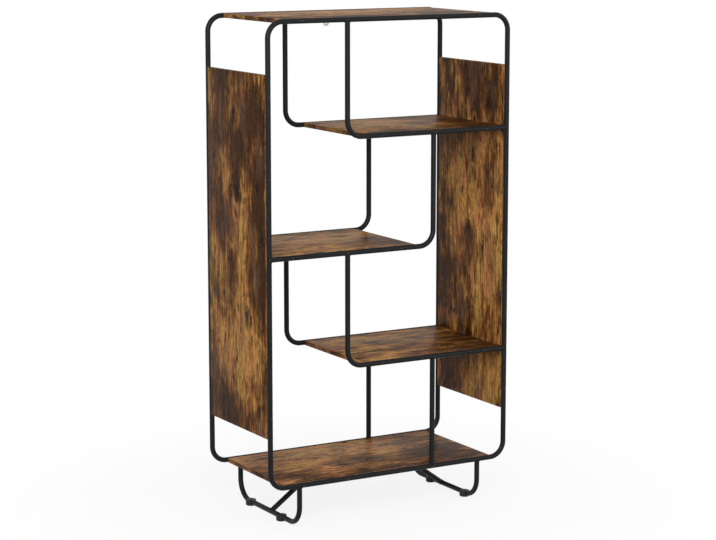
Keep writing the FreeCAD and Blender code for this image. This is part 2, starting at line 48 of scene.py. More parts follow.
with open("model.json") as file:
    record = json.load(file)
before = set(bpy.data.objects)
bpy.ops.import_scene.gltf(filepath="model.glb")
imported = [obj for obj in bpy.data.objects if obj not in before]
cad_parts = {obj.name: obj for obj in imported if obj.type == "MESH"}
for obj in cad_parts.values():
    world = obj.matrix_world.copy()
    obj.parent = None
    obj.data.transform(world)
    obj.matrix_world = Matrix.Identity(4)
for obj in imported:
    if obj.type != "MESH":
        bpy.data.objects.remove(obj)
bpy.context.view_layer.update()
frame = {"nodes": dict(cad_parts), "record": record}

ALONG_X = Vector((1, 0, 0))
ALONG_Y = Vector((0, 1, 0))
UP = Vector((0, 0, 1))
HALF_TURN = Matrix.Rotation(math.pi, 4, "Z")
LYING_ALONG_Y = (math.pi / 2, 0, 0)


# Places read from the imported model


def middle(node):
    """Centre of a node's box."""
    low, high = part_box(node)
    return (low + high) / 2


def extent(node):
    """Size of a node's box."""
    low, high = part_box(node)
    return high - low


TUBE_RADIUS = extent("front_base_post").x / 2
UPRIGHT_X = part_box("front_outer_frame")[1].x - TUBE_RADIUS
DIVIDER_X = middle("front_base_post").x
FOOT_X = middle("right_foot").x
BAR_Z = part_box("left_foot")[0].z + TUBE_RADIUS
FRAME_Y = {end: middle(f"{end}_outer_frame").y for end in ("front", "rear")}
SHELVES = ("upper_shelf", "middle_shelf", "lower_shelf")
LEVEL_BOARDS = ("top_board", *SHELVES, "bottom_board")
PANELS = ("left_side_panel", "right_side_panel")
RAIL_Z = {board.split("_")[0]: middle(board).z for board in LEVEL_BOARDS}
# Each level with a bent divider, the rail that it hangs from, and the side that it reaches to
LEVELS = (("upper", "top", 1), ("middle", "upper", -1), ("lower", "middle", 1))
SCREW_SETS = (
    "left_panel_screws",
    "right_panel_screws",
    *(f"{board}_screws" for board in LEVEL_BOARDS),
    "brace_plate_screws",
    "wall_strap_screw",
)


# Fine sizes, in metres, and steps of round shapes

SAME_PLACE = 1e-6
GROOVE_CLEARANCE = 0.0002
GLIDE_ARRIS = 0.0004
PLATE_ARRIS = 0.0003
GLIDE_SIDES, GROOVE_SIDES, RIM_STEPS = 64, 48, 5
HEAD_SIDES, DOME_STEPS, SHANK_SIDES, TIP_STEPS = 24, 4, 12, 1
HOLE_SIDES, CORNER_STEPS = 40, 8
BOARD_STEPS, ARRIS_STEPS, BEAD_STEPS = 3, 2, 2
# Length of a cutter, in strap thicknesses and in glide radii
DRILL_LENGTH, GROOVE_LENGTH = 10, 4
# Angles in degrees: above the first three an edge is left sharp, above the others it is eased
TUBE_SMOOTH, WELD_SMOOTH, BOARD_SMOOTH = 35, 60, 20
GLIDE_EASED, PLATE_EASED = 40, 50
# Screws: how much of the head's height is domed, the cross recess against the head's radius and
# height, and the shank and its tip against the head's and the shank's radius
DOME = 0.86
CROSS_LENGTH, CROSS_WIDTH, CROSS_DEPTH = 1.05, 0.27, 1.2
SHANK, TIP = 0.48, 0.7
# Welds: how much a ripple swells, points to a ripple, and what lifts the line's low spots
RIPPLE_SWELL, RIPPLE_POINTS, SADDLE_LIFT = 0.22, 4, 0.012


# Sizes and colours that a user would change


def maker(kind, **usual):
    """Makes properties of one kind from a name, a description and a default."""
    return lambda name, description, default: kind(
        name=name, description=description, default=default, **usual
    )


number = maker(IntProperty)
length = maker(FloatProperty, subtype="DISTANCE", unit="LENGTH")
share = maker(FloatProperty, subtype="FACTOR")
angle = maker(FloatProperty, subtype="ANGLE", unit="ROTATION")
watts = maker(FloatProperty, unit="POWER")
focal = maker(FloatProperty, unit="CAMERA")
spot = maker(FloatVectorProperty, subtype="TRANSLATION", unit="LENGTH")
colour = maker(FloatVectorProperty, subtype="COLOR")


class TubeLooks(bpy.types.PropertyGroup):
    """Bent steel tube with a black powder coat."""

    sides: number("Sides", "Flat sides round a tube", 36)
    bend_steps: number("Bend steps", "Steps in a quarter bend", 16)
    corner_bend: length("Corner bend", "Radius of the outer frame's corners", 0.045)
    shelf_bend: length("Shelf bend", "Radius of a divider's bend", 0.045)
    foot_bend: length("Foot bend", "Radius of a foot's bends", 0.055)
    coat: colour("Coat", "Powder coat", (0.006, 0.006, 0.007))
    worn_coat: colour("Thin coat", "Powder coat where it is thinner", (0.010, 0.0095, 0.010))
    bead: length("Weld bead", "Radius of a weld bead", 0.0012)
    ripples: number("Ripples", "Ripples round a weld bead", 22)


class BoardLooks(bpy.types.PropertyGroup):
    """Boards with a printed rustic wood surface."""

    arris: length("Arris", "Rounding along a board's edges", 0.0008)
    char: colour("Char", "Charred patches, knots and checks", (0.014, 0.007, 0.0035))
    dark: colour("Dark", "Dark brown", (0.052, 0.021, 0.005))
    brown: colour("Brown", "Reddish brown", (0.136, 0.056, 0.013))
    tan: colour("Tan", "Lighter brown", (0.272, 0.126, 0.035))
    ochre: colour("Ochre", "Golden flames", (0.500, 0.260, 0.080))
    smoke: colour("Smoke", "Grey-violet stain", (0.126, 0.066, 0.044))
    red_tint: colour("Red tint", "Multiplies the redder stretches", (1.0, 0.82, 0.86))
    olive_tint: colour("Olive tint", "Multiplies the olive stretches", (0.94, 0.98, 0.80))


class FittingLooks(bpy.types.PropertyGroup):
    """Glides, screws, brace plates and wall strap."""

    glide_spacing: length("Glide spacing", "Between the two glides of a foot", 0.190)
    glide_shift: length("Glide shift", "Middle of the two glides from the bar's", 0.022)
    glide_shoulder: length("Glide shoulder", "Rounding of a glide's upper rim", 0.0034)
    glide_sole_round: length("Glide sole", "Rounding of a glide's lower rim", 0.0036)
    screw_head: length("Screw head", "Height of a screw's head", 0.0018)
    plate_corner: length("Plate corner", "Rounding of a brace plate's corners", 0.006)
    strap_end: length("Strap end", "Rounding of the strap's lower end", 0.0095)
    strap_corner: length("Strap corner", "Rounding of the strap's upper corners", 0.003)
    plastic: colour("Plastic", "Moulded glides", (0.012, 0.012, 0.013))
    screw_black: colour("Screw black", "Blackened screws", (0.014, 0.014, 0.015))
    zinc: colour("Zinc", "Plated wall strap", (0.62, 0.63, 0.64))


class StageLooks(bpy.types.PropertyGroup):
    """Floor, background, lamps and camera."""

    floor_size: length("Floor size", "Width of the floor", 60.0)
    floor_tone: colour("Floor", "Pale floor as it is seen", (0.86, 0.86, 0.86))
    bounce_tone: colour("Bounce", "Floor as it throws light back", (0.45, 0.45, 0.45))
    near_white: share("Near white", "How white the floor is shown at the object", 0.86)
    ambient: share("Ambient", "Strength of the even light from all sides", 0.55)
    lamp_size: length("Lamp size", "Width of each lamp", 3.0)
    aim: spot("Aim", "Point that the lamps look at", (0, 0, 0.7))
    key_place: spot("Key place", "Where the main lamp hangs", (-2.6, -4.2, 2.6))
    key_power: watts("Key", "Power of the main lamp", 235.0)
    fill_place: spot("Fill place", "Where the second lamp hangs", (3.4, -3.2, 2.2))
    fill_power: watts("Fill", "Power of the second lamp", 55.0)
    eye: spot("Eye", "Where the camera stands", (-3.198, -5.487, 1.774))
    eye_pitch: angle("Pitch", "How far the camera looks down", math.radians(9.63))
    eye_turn: angle("Turn", "How far the camera is turned to the right", math.radians(30.22))
    lens: focal("Lens", "Focal length in millimetres", 110.6)


# Handling objects as by hand


def leave_edit_mode():
    if bpy.context.mode != "OBJECT":
        bpy.ops.object.mode_set(mode="OBJECT")


def select_only(*objects):
    """Leave just these selected, the last one active."""
    leave_edit_mode()
    bpy.ops.object.select_all(action="DESELECT")
    for piece in objects:
        piece.select_set(True)
        bpy.context.view_layer.objects.active = piece


def active():
    return bpy.context.view_layer.objects.active


def edit_all(piece):
    """Edit mode on one piece with all of its mesh selected."""
    select_only(piece)
    bpy.ops.object.mode_set(mode="EDIT")
    bpy.ops.mesh.select_mode(type="VERT")
    bpy.ops.mesh.select_all(action="SELECT")


def apply_place(piece):
    """The piece's place goes into its mesh, so that its object is at the origin."""
    select_only(piece)
    bpy.ops.object.transform_apply(location=True, rotation=True, scale=True)


def block(centre, size, turn=(0, 0, 0)):
    """A new box with its place in its mesh."""
    select_only()
    bpy.ops.mesh.primitive_cube_add(size=1, location=centre, rotation=turn, scale=size)
    apply_place(active())
    return active()


def cylinder(sides, radius, depth, centre, turn=(0, 0, 0)):
    """A new cylinder with its place in its mesh, upright unless it is turned."""
    select_only()
    bpy.ops.mesh.primitive_cylinder_add(
        vertices=sides, radius=radius, depth=depth, location=centre, rotation=turn
    )
    apply_place(active())
    return active()


def close_up(piece):
    """Merge doubles, close open ends and point the faces outwards."""
    edit_all(piece)
    bpy.ops.mesh.remove_doubles(threshold=SAME_PLACE)
    bpy.ops.mesh.select_all(action="SELECT")
    bpy.ops.mesh.fill_holes(sides=0)
    bpy.ops.mesh.select_all(action="SELECT")
    bpy.ops.mesh.normals_make_consistent(inside=False)
    leave_edit_mode()


def smooth(piece, degrees=TUBE_SMOOTH):
    select_only(piece)
    bpy.ops.object.shade_smooth_by_angle(angle=math.radians(degrees))


def join(pieces, name):
    """Several pieces as one object."""
    select_only(*pieces)
    if len(pieces) > 1:
        bpy.ops.object.join()
    joined = active()
    joined.name = name
    joined.data.name = name
    return joined


def copied_to(place, master, name):
    """A copy of a piece, moved or turned, with its own mesh."""
    select_only(master)
    bpy.ops.object.duplicate(linked=False)
    piece = active()
    piece.name = name
    piece.matrix_world = place
    apply_place(piece)
    return piece


def copies_of(master, places, name):
    """One object of copies of a piece that stands at the origin, one copy for each place."""
    return join([copied_to(place, master, f"{name}_copy") for place in places], name)


def discard(*masters):
    """Take out the pieces that only served to be copied."""
    for master in masters:
        bpy.data.objects.remove(master)


def apply_modifier(piece, kind, **settings):
    select_only(piece)
    modifier = piece.modifiers.new(kind.title(), kind)
    for name, value in settings.items():
        setattr(modifier, name, value)
    bpy.ops.object.modifier_apply(modifier=modifier.name)


def cut_away(piece, cutter):
    """Take a cutter's shape out of a piece, and the cutter out of the scene."""
    apply_modifier(piece, "BOOLEAN", operation="DIFFERENCE", object=cutter, solver="EXACT")
    bpy.data.objects.remove(cutter)


def ease_edges(piece, width, degrees):
    """A fine rounding along the edges that are sharper than an angle."""
    apply_modifier(
        piece,
        "BEVEL",
        width=width,
        segments=ARRIS_STEPS,
        limit_method="ANGLE",
        angle_limit=math.radians(degrees),
    )


def round_edges(piece, test, radius, steps):
    """Round the edges that a test picks."""
    edit_all(piece)
    bpy.ops.mesh.select_mode(type="EDGE")
    bpy.ops.mesh.select_all(action="DESELECT")
    for edge in bmesh.from_edit_mesh(piece.data).edges:
        edge.select_set(test(edge))
    bmesh.update_edit_mesh(piece.data)
    bpy.ops.mesh.bevel(offset=radius, segments=steps, affect="EDGES")
    leave_edit_mode()


def at_height(z):
    """A test for edges that lie flat at a height."""
    return lambda edge: all(abs(vertex.co.z - z) < SAME_PLACE for vertex in edge.verts)


def settle(piece, slot, materials, *nodes):
    """Give a finished piece its materials, its body and the nodes it stands for."""
    piece.data.materials.clear()
    for material in materials:
        piece.data.materials.append(material)
    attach(piece, "root")
    if nodes:
        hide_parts(*nodes)


# Node trees


def opaque(value):
    """A colour with full alpha."""
    return (*value, 1.0)


def feed(tree, value, socket):
    """Link an input from a socket, or set it to a value, a colour without its alpha."""
    if isinstance(value, bpy.types.NodeSocket):
        tree.links.new(value, socket)
    else:
        socket.default_value = opaque(value) if socket.type == "RGBA" else value


def shade(tree, kind, inputs=(), **settings):
    """One shader node; each input is a value, or a socket to link from."""
    made = tree.nodes.new("ShaderNode" + kind)
    for name, value in settings.items():
        setattr(made, name, value)
    for name, value in dict(inputs).items():
        feed(tree, value, made.inputs[name])
    return made


def maths(tree, operation, *values, clamp=False):
    """The result of one sum."""
    node = shade(tree, "Math", dict(enumerate(values)), operation=operation, use_clamp=clamp)
    return node.outputs[0]


def times(tree, first, second, *plus, clamp=False):
    """A product, and its sum with a third value if there is one."""
    return maths(tree, "MULTIPLY_ADD" if plus else "MULTIPLY", first, second, *plus, clamp=clamp)


def vectors(tree, operation, first, second):
    """The result of one sum of places."""
    return shade(tree, "VectorMath", {0: first, 1: second}, operation=operation).outputs[0]


def fit(tree, value, low, high, to_low=0.0, to_high=1.0, soft=True):
    """A value brought from one range to another and held there."""
    inputs = {"Value": value, 1: low, 2: high, 3: to_low, 4: to_high}
    kind = "SMOOTHSTEP" if soft else "LINEAR"
    return shade(tree, "MapRange", inputs, interpolation_type=kind, clamp=True).outputs[0]


def blend(tree, amount, first, second, way="MIX"):
    """Two colours mixed."""
    node = shade(tree, "Mix", data_type="RGBA", blend_type=way, clamp_factor=True)
    sockets = [s for s in node.inputs if s.type == "RGBA"]
    for value, socket in zip((amount, first, second), (node.inputs[0], *sockets)):
        feed(tree, value, socket)
    return next(s for s in node.outputs if s.type == "RGBA")


def noise(tree, place, per_metre, detail=2.0, rough=0.5):
    """Noise with its own number of features per metre along each axis."""
    placed = vectors(tree, "MULTIPLY", place, per_metre)
    inputs = {"Vector": placed, "Scale": 1.0, "Detail": detail, "Roughness": rough}
    return shade(tree, "TexNoise", inputs).outputs["Fac"]


def pushed(tree, place, **push):
    """A place pushed along the named axes."""
    return vectors(tree, "ADD", place, shade(tree, "CombineXYZ", push).outputs[0])


def new_group(name, inputs, outputs):
    """An empty node group: inputs with their default or None for a place, outputs by kind."""
    group = bpy.data.node_groups.new(name, "ShaderNodeTree")
    for key, value in inputs.items():
        kind = "NodeSocketVector" if value is None else "NodeSocketFloat"
        socket = group.interface.new_socket(name=key, in_out="INPUT", socket_type=kind)
        if value is not None:
            socket.default_value = value
    for key, kind in outputs.items():
        group.interface.new_socket(name=key, in_out="OUTPUT", socket_type=f"NodeSocket{kind}")
    given = group.nodes.new("NodeGroupInput").outputs
    return group, given, group.nodes.new("NodeGroupOutput").inputs


def emptied(data):
    """The node tree of a material or of the world, without its nodes."""
    data.use_nodes = True
    data.node_tree.nodes.clear()
    return data.node_tree


def scaled(value, factor):
    """A lighter or darker colour."""
    return tuple(factor * part for part in value)


def new_material(name, constants):
    """A material with just its surface shader, and its object coordinates."""
    material = bpy.data.materials.new(name)
    tree = emptied(material)
    surface = shade(tree, "BsdfPrincipled", constants)
    out = tree.nodes.new("ShaderNodeOutputMaterial")
    tree.links.new(surface.outputs["BSDF"], out.inputs["Surface"])
    place = tree.nodes.new("ShaderNodeTexCoord").outputs["Object"]
    return material, tree, surface, place


def finish_surface(tree, surface, tone, made, strength, depth):
    """A surface's colour, and its roughness and fine relief from a shared group."""
    tree.links.new(tone, surface.inputs["Base Color"])
    tree.links.new(made["Roughness"], surface.inputs["Roughness"])
    inputs = {"Height": made["Height"], "Strength": strength, "Distance": depth}
    bump = shade(tree, "Bump", inputs)
    tree.links.new(bump.outputs["Normal"], surface.inputs["Normal"])


# Painted, moulded and plated surfaces


class Finish(NamedTuple):
    """Grain per metre, range of roughness, depth of the relief in metres, sheen and metal."""

    grain: float
    smoothest: float
    roughest: float
    relief: float
    sheen: float = 0.5
    metal: float = 0.0


FINISHES = {
    "Black powder coat": Finish(700.0, 0.38, 0.46, 0.00001, sheen=0.12),
    "Black moulded plastic": Finish(1400.0, 0.42, 0.55, 0.00005, sheen=0.2),
    "Blackened screw": Finish(900.0, 0.3, 0.42, 0.00002, sheen=0.22),
    "Zinc plate": Finish(260.0, 0.28, 0.42, 0.00002, metal=1.0),
}
FINISH_RELIEF = 0.4
# The mottle: fine grain and wide clouds by their shares, and the range of both that counts
FINE_SHARE, CLOUD_SHARE = 0.35, 0.65
CLOUDS_PER_METRE, CLOUD_DETAIL, FINE_DETAIL = (9, 9, 9), 3, 2
MOTTLE = (0.3, 0.7)
# The lighter or duller second tone of a mottle against the first
PLASTIC_LIGHT, SCREW_LIGHT, ZINC_DULL = 1.6, 1.7, 0.78


def coated_finish():
    """Fine mottle of a sprayed or moulded surface: tone, roughness and relief. Built once."""
    name = "Coated finish"
    if name in bpy.data.node_groups:
        return bpy.data.node_groups[name]
    group, given, result = new_group(
        name,
        {"Vector": None, "Grain per metre": 600.0, "Smoothest": 0.35, "Roughest": 0.5},
        {"Tone": "Float", "Roughness": "Float", "Height": "Float"},
    )
    per_metre = given["Grain per metre"]
    inputs = {"Vector": given["Vector"], "Scale": per_metre, "Detail": FINE_DETAIL}
    fine = shade(group, "TexNoise", inputs).outputs["Fac"]
    cloud = noise(group, given["Vector"], CLOUDS_PER_METRE, CLOUD_DETAIL)
    clouds = times(group, cloud, CLOUD_SHARE)
    tone = times(group, fine, FINE_SHARE, clouds)
    group.links.new(fit(group, tone, *MOTTLE), result["Tone"])
    spread = maths(group, "SUBTRACT", given["Roughest"], given["Smoothest"])
    rough = times(group, fit(group, cloud, *MOTTLE), spread, given["Smoothest"])
    group.links.new(rough, result["Roughness"])
    group.links.new(fine, result["Height"])
    return group


def coated_material(name, dark, light):
    """Paint, plastic or plating that takes its mottle from the shared group."""
    finish = FINISHES[name]
    constants = {"Specular IOR Level": finish.sheen, "Metallic": finish.metal}
    material, tree, surface, place = new_material(name, constants)
    inputs = {
        "Vector": place,
        "Grain per metre": finish.grain,
        "Smoothest": finish.smoothest,
        "Roughest": finish.roughest,
    }
    made = shade(tree, "Group", inputs, node_tree=coated_finish()).outputs
    tone = blend(tree, made["Tone"], dark, light)
    finish_surface(tree, surface, tone, made, FINISH_RELIEF, finish.relief)
    return material


def powder_coat():
    """The paint of all steel but the wall strap, built once."""
    name = "Black powder coat"
    looks = bpy.context.scene.tube_looks
    return bpy.data.materials.get(name) or coated_material(name, looks.coat, looks.worn_coat)


def steel_pair(piece, to_twin, nodes, ending):
    """Paint a steel piece and its twin, which is a copy of it, and name them by their nodes."""
    smooth(piece)
    piece.name = f"{nodes[0]}_{ending}"
    twin = copied_to(to_twin, piece, f"{nodes[1]}_{ending}")
    for made, node in zip((piece, twin), nodes):
        settle(made, "black_steel", [powder_coat()], node)


# Rustic wood


class Layer(NamedTuple):
    """Noise stretched along the grain, of which one range is brought to another.

    The features per metre run along the grain, across it and through the board.
    """

    per_metre: tuple
    detail: float
    rough: float = 0.5
    seen: tuple = (0.0, 1.0)
    gives: tuple = (0.0, 1.0)
    soft: bool = True


LAYERS = {
    "cloud": Layer((1.7, 4, 1), 1, seen=(0.34, 0.66), soft=False),
    "flame": Layer((4.6, 8.5, 3), 2, seen=(0.34, 0.66), soft=False),
    "figure": Layer((20, 30, 12), 5, 0.68, seen=(0.30, 0.70), soft=False),
    "band": Layer((4.5, 44, 10), 3, 0.6, seen=(0.32, 0.68), soft=False),
    "streak": Layer((6.5, 95, 12), 3, 0.6, seen=(0.30, 0.70), soft=False),
    "hue": Layer((5, 21, 7), 3, seen=(0.36, 0.64)),
    "stain": Layer((5, 15, 5), 4, seen=(0.52, 0.66)),
    "char": Layer((11, 24, 10), 5, 0.68, seen=(0.575, 0.645)),
    "nicks": Layer((24, 72, 26), 4, 0.68, seen=(0.60, 0.67)),
    "faint": Layer((4, 13, 5), 2, seen=(0.36, 0.62), gives=(1.0, 0.6)),
    "fibre": Layer((9, 260, 20), 3, 0.6, seen=(0.32, 0.68), gives=(0.72, 1.26)),
    "pores": Layer((70, 1300, 70), 2, seen=(0.52, 0.70), gives=(1.0, 0.72)),
    "fleck": Layer((80, 170, 60), 3, 0.6, seen=(0.34, 0.66), gives=(0.74, 1.22)),
    "checked": Layer((7, 24, 6), 2, seen=(0.56, 0.64)),
}
# The tone is the sum of these layers by their shares and the offset. Its stops are where the
# dark, brown, tan and ochre of the boards stand in it.
TONE_SHARES = {"cloud": 0.24, "flame": 0.34, "figure": 0.36, "band": 0.22, "streak": 0.18}
TONE_OFFSET = -0.17
TONE_STOPS = (0.33, 0.45, 0.56, 0.70)
# Noise that bends the grain, its growth lines and its checks: features per metre and detail
BENDS = {
    "swing": ((2.2, 5, 2), 2),
    "kink": ((14, 30, 13), 3),
    "ragged": ((6, 75, 9), 3),
    "bow": ((1.3, 4, 1), 1),
    "ripple": ((9, 36, 9), 2),
    "check": ((7, 95, 11), 2),
}
# How far the grain wanders, in metres, and how much of that the fine marks follow
SWING, KINK, RAGGED, FINE_FOLLOWS = 0.055, 0.012, 0.09, 0.35
# Growth lines: turns of the wave per metre across the grain, how much the bow and the ripples
# move them, and how dark they get
LINES_PER_METRE, LINE_BOW, LINE_RIPPLE, LINE_TONE = 560.0, 60.0, 9.0, 0.70
# Checks: the noise near its middle that opens one, and how dark it gets
CHECK_OPEN, CHECK_DARK = (0.05, 0.015), 0.85
# How far nicks count as char, and how fully stain, char and marks cover the wood
NICK_SHARE, STAIN_COVER, CHAR_COVER, MARK_COVER = 0.8, 0.5, 0.86, 0.9
# Roughness: its base, and what the figure and the char add; relief of checks and of grain
ROUGH_BASE, ROUGH_FIGURE, ROUGH_CHAR = 0.46, 0.10, 0.08
CHECK_RELIEF, GRAIN_RELIEF = -1.2, 0.8
WOOD_SURFACE = {"Specular IOR Level": 0.02, "Coat Weight": 0.08, "Coat Roughness": 0.18}
WOOD_RELIEF, WOOD_RELIEF_DEPTH = 0.5, 0.00015
# Knots, in knot sizes: how much longer than wide they are, how quickly and how far the grain is
# drawn aside, the edge of the eye, and the rings round it with their depth and their edge
KNOT_LENGTH, KNOT_FADE, KNOT_PULL, KNOT_EYE = 2.6, -0.16, -0.9, (1.25, 0.35)
RINGS, RING_DEPTH, RING_EDGE = 7.0, 0.28, (3.2, 0.8)


def knot_group():
    """A knot that the grain flows round, and its dark eye."""
    group, given, result = new_group(
        "Knot",
        {"Vector": None, "Eye": 0.0, "Centre": None, "Size": 0.012},
        {"Vector": "Vector", "Eye": "Float"},
    )
    offset = vectors(group, "SUBTRACT", given["Vector"], given["Centre"])
    split = shade(group, "SeparateXYZ", {0: offset}).outputs
    half_length = times(group, given["Size"], KNOT_LENGTH)
    along = maths(group, "DIVIDE", split["X"], half_length)
    across = maths(group, "DIVIDE", split["Y"], given["Size"])
    square = times(group, along, along, times(group, across, across))
    away = maths(group, "SQRT", square)
    pull = maths(group, "EXPONENT", times(group, square, KNOT_FADE))
    shift = times(group, split["Y"], times(group, pull, KNOT_PULL))
    group.links.new(pushed(group, given["Vector"], Y=shift), result["Vector"])
    ring = maths(group, "SINE", times(group, away, RINGS))
    ring = times(group, ring, RING_DEPTH)
    eye = fit(group, away, *KNOT_EYE)
    ringed = times(group, ring, fit(group, away, *RING_EDGE), eye, clamp=True)
    group.links.new(maths(group, "MAXIMUM", given["Eye"], ringed), result["Eye"])
    return group


def layer(tree, place, name):
    """One layer of noise, held to its range."""
    kind = LAYERS[name]
    raw = noise(tree, place, kind.per_metre, kind.detail, kind.rough)
    return fit(tree, raw, *kind.seen, *kind.gives, soft=kind.soft)


def bend(tree, place, name):
    """Noise round zero that bends what it is added to."""
    return maths(tree, "SUBTRACT", noise(tree, place, *BENDS[name]), 0.5)


def wood_tone(tree, place, fine, lightness):
    """The wood's tone from its layers, and the figure on its own."""
    made = {name: layer(tree, fine if name == "streak" else place, name) for name in TONE_SHARES}
    tone = maths(tree, "ADD", lightness, TONE_OFFSET)
    for name, part in TONE_SHARES.items():
        tone = times(tree, made[name], part, tone)
    return tone, made["figure"]


def wood_ramp(tree, tone, looks):
    """The browns of the wood by its tone."""
    ramp = tree.nodes.new("ShaderNodeValToRGB")
    elements = ramp.color_ramp.elements
    while len(elements) < len(TONE_STOPS):
        elements.new(0.5)
    browns = (looks.dark, looks.brown, looks.tan, looks.ochre)
    for element, position, value in zip(elements, TONE_STOPS, browns):
        element.position = position
        element.color = opaque(value)
    tree.links.new(tone, ramp.inputs["Fac"])
    return ramp.outputs["Color"]


def wood_grain(tree, place, fine):
    """Growth lines that follow the flames, fibres, pores and flecks, as one factor."""
    wave = times(tree, noise(tree, fine, *BENDS["ripple"]), LINE_RIPPLE)
    wave = times(tree, noise(tree, place, *BENDS["bow"]), LINE_BOW, wave)
    width = shade(tree, "SeparateXYZ", {0: fine}).outputs["Y"]
    phase = times(tree, width, LINES_PER_METRE, wave)
    line = fit(tree, maths(tree, "SINE", phase), 0.0, 1.0, 1.0, LINE_TONE)
    grain = maths(tree, "MAXIMUM", line, layer(tree, place, "faint"))
    for name in ("fibre", "pores", "fleck"):
        grain = times(tree, grain, layer(tree, fine, name))
    return grain


def covered(tree, wood, amount, fully, value):
    """The wood under so much of another colour."""
    return blend(tree, times(tree, amount, fully), wood, value)


def decor_group(looks):
    """Printed rustic wood: the first axis runs along the grain, the second across it."""
    group, given, result = new_group(
        "Rustic decor",
        {"Vector": None, "Eye": 0.0, "Lightness": 0.0},
        {"Color": "Color", "Roughness": "Float", "Height": "Float"},
    )
    straight = given["Vector"]
    # The grain wanders: wide swings and short kinks across it, and ragged ends along it
    kink = times(group, bend(group, straight, "kink"), KINK)
    across = times(group, bend(group, straight, "swing"), SWING, kink)
    along = times(group, bend(group, straight, "ragged"), RAGGED)
    place = pushed(group, straight, X=along, Y=across)
    # Fine marks keep closer to the straight grain
    fine = pushed(group, straight, Y=times(group, across, FINE_FOLLOWS))
    tone, figure = wood_tone(group, place, fine, given["Lightness"])
    # Redder and more olive stretches
    tint = blend(group, layer(group, place, "hue"), looks.red_tint, looks.olive_tint)
    wood = blend(group, 1.0, wood_ramp(group, tone, looks), tint, "MULTIPLY")
    # Grey-violet stain, then charred patches, large and small
    stain = layer(group, place, "stain")
    wood = covered(group, wood, stain, STAIN_COVER, looks.smoke)
    nicks = times(group, layer(group, place, "nicks"), NICK_SHARE)
    char = maths(group, "MAXIMUM", layer(group, place, "char"), nicks)
    wood = covered(group, wood, char, CHAR_COVER, looks.char)
    grain = wood_grain(group, place, fine)
    wood = blend(group, 1.0, wood, grain, "MULTIPLY")
    # Fine checks and the eyes of the knots
    check = maths(group, "ABSOLUTE", bend(group, fine, "check"))
    checked = layer(group, place, "checked")
    crack = times(group, fit(group, check, *CHECK_OPEN), checked)
    marks = maths(group, "MAXIMUM", times(group, crack, CHECK_DARK), given["Eye"])
    wood = covered(group, wood, marks, MARK_COVER, looks.char)
    group.links.new(wood, result["Color"])
    rough = times(group, figure, ROUGH_FIGURE, ROUGH_BASE)
    rough = times(group, char, ROUGH_CHAR, rough)
    group.links.new(rough, result["Roughness"])
    relief = times(group, grain, GRAIN_RELIEF)
    relief = times(group, crack, CHECK_RELIEF, relief)
    group.links.new(relief, result["Height"])
    return group


# For each board: a shift of the pattern, its lightness and its knots. A knot is given by its
# place along and across the grain, as shares of the half length and half width, and its size.
DECOR_SHARES = {
    "top_board": ((32.275, 3.035), 0.06, ((0.35, 0.2, 0.012), (-0.6, -0.3, 0.009))),
    "upper_shelf": ((6.475, 13.305), 0.05, ((0.2, -0.2, 0.011),)),
    "middle_shelf": ((5.555, 5.775), 0.08, ((0.55, 0.35, 0.014), (-0.3, -0.4, 0.008))),
    "lower_shelf": ((35.295, 8.195), 0.06, ((-0.35, 0.3, 0.012),)),
    "bottom_board": ((32.685, 4.485), 0.05, ((-0.25, -0.35, 0.016), (0.5, 0.4, 0.012))),
    "left_side_panel": (
        (0.610, 10.810),
        -0.02,
        ((0.35, -0.02, 0.015), (-0.35, -0.33, 0.012), (-0.26, 0.47, 0.009), (0.83, 0.3, 0.008)),
    ),
    "right_side_panel": (
        (33.790, 0.260),
        0.04,
        ((0.46, -0.09, 0.016), (0.78, -0.57, 0.011), (0.24, 0.22, 0.008), (0.03, 0.03, 0.012)),
    ),
}
# The object's axes in the order along the grain, across it and through the board
GRAIN_AXES = {"X": "XYZ", "Y": "YXZ", "Z": "ZYX"}


def grain_place(tree, place, grain, centre):
    """Object coordinates centred on a board, with the grain along the first axis."""
    centred = vectors(tree, "SUBTRACT", place, tuple(centre))
    split = shade(tree, "SeparateXYZ", {0: centred}).outputs
    axes = dict(zip("XYZ", (split[axis] for axis in GRAIN_AXES[grain])))
    return shade(tree, "CombineXYZ", axes).outputs[0]


def decor_material(board, grain, decor, knot, band):
    """The printed surface of one board, or of the edging band on its narrow sides."""
    name = ("Edging of " if band else "Rustic ") + board.replace("_", " ")
    shift, lightness, knots = DECOR_SHARES[board]
    size = extent(board)
    half_along = (size.x if grain == "X" else size.z) / 2
    half_across = size.y / 2
    material, tree, surface, place = new_material(name, WOOD_SURFACE)
    place = grain_place(tree, place, "Y" if band else grain, middle(board))
    eye = 0.0
    for along, across, knot_size in () if band else knots:
        centre = (along * half_along, across * half_across, 0.0)
        inputs = {"Vector": place, "Eye": eye, "Centre": centre, "Size": knot_size}
        made = shade(tree, "Group", inputs, node_tree=knot).outputs
        place, eye = made["Vector"], made["Eye"]
    shifted = vectors(tree, "ADD", place, (*shift, 0.0))
    inputs = {"Vector": shifted, "Eye": eye, "Lightness": lightness}
    wood = shade(tree, "Group", inputs, node_tree=decor).outputs
    finish_surface(tree, surface, wood["Color"], wood, WOOD_RELIEF, WOOD_RELIEF_DEPTH)
    return material


# Tubes and welds


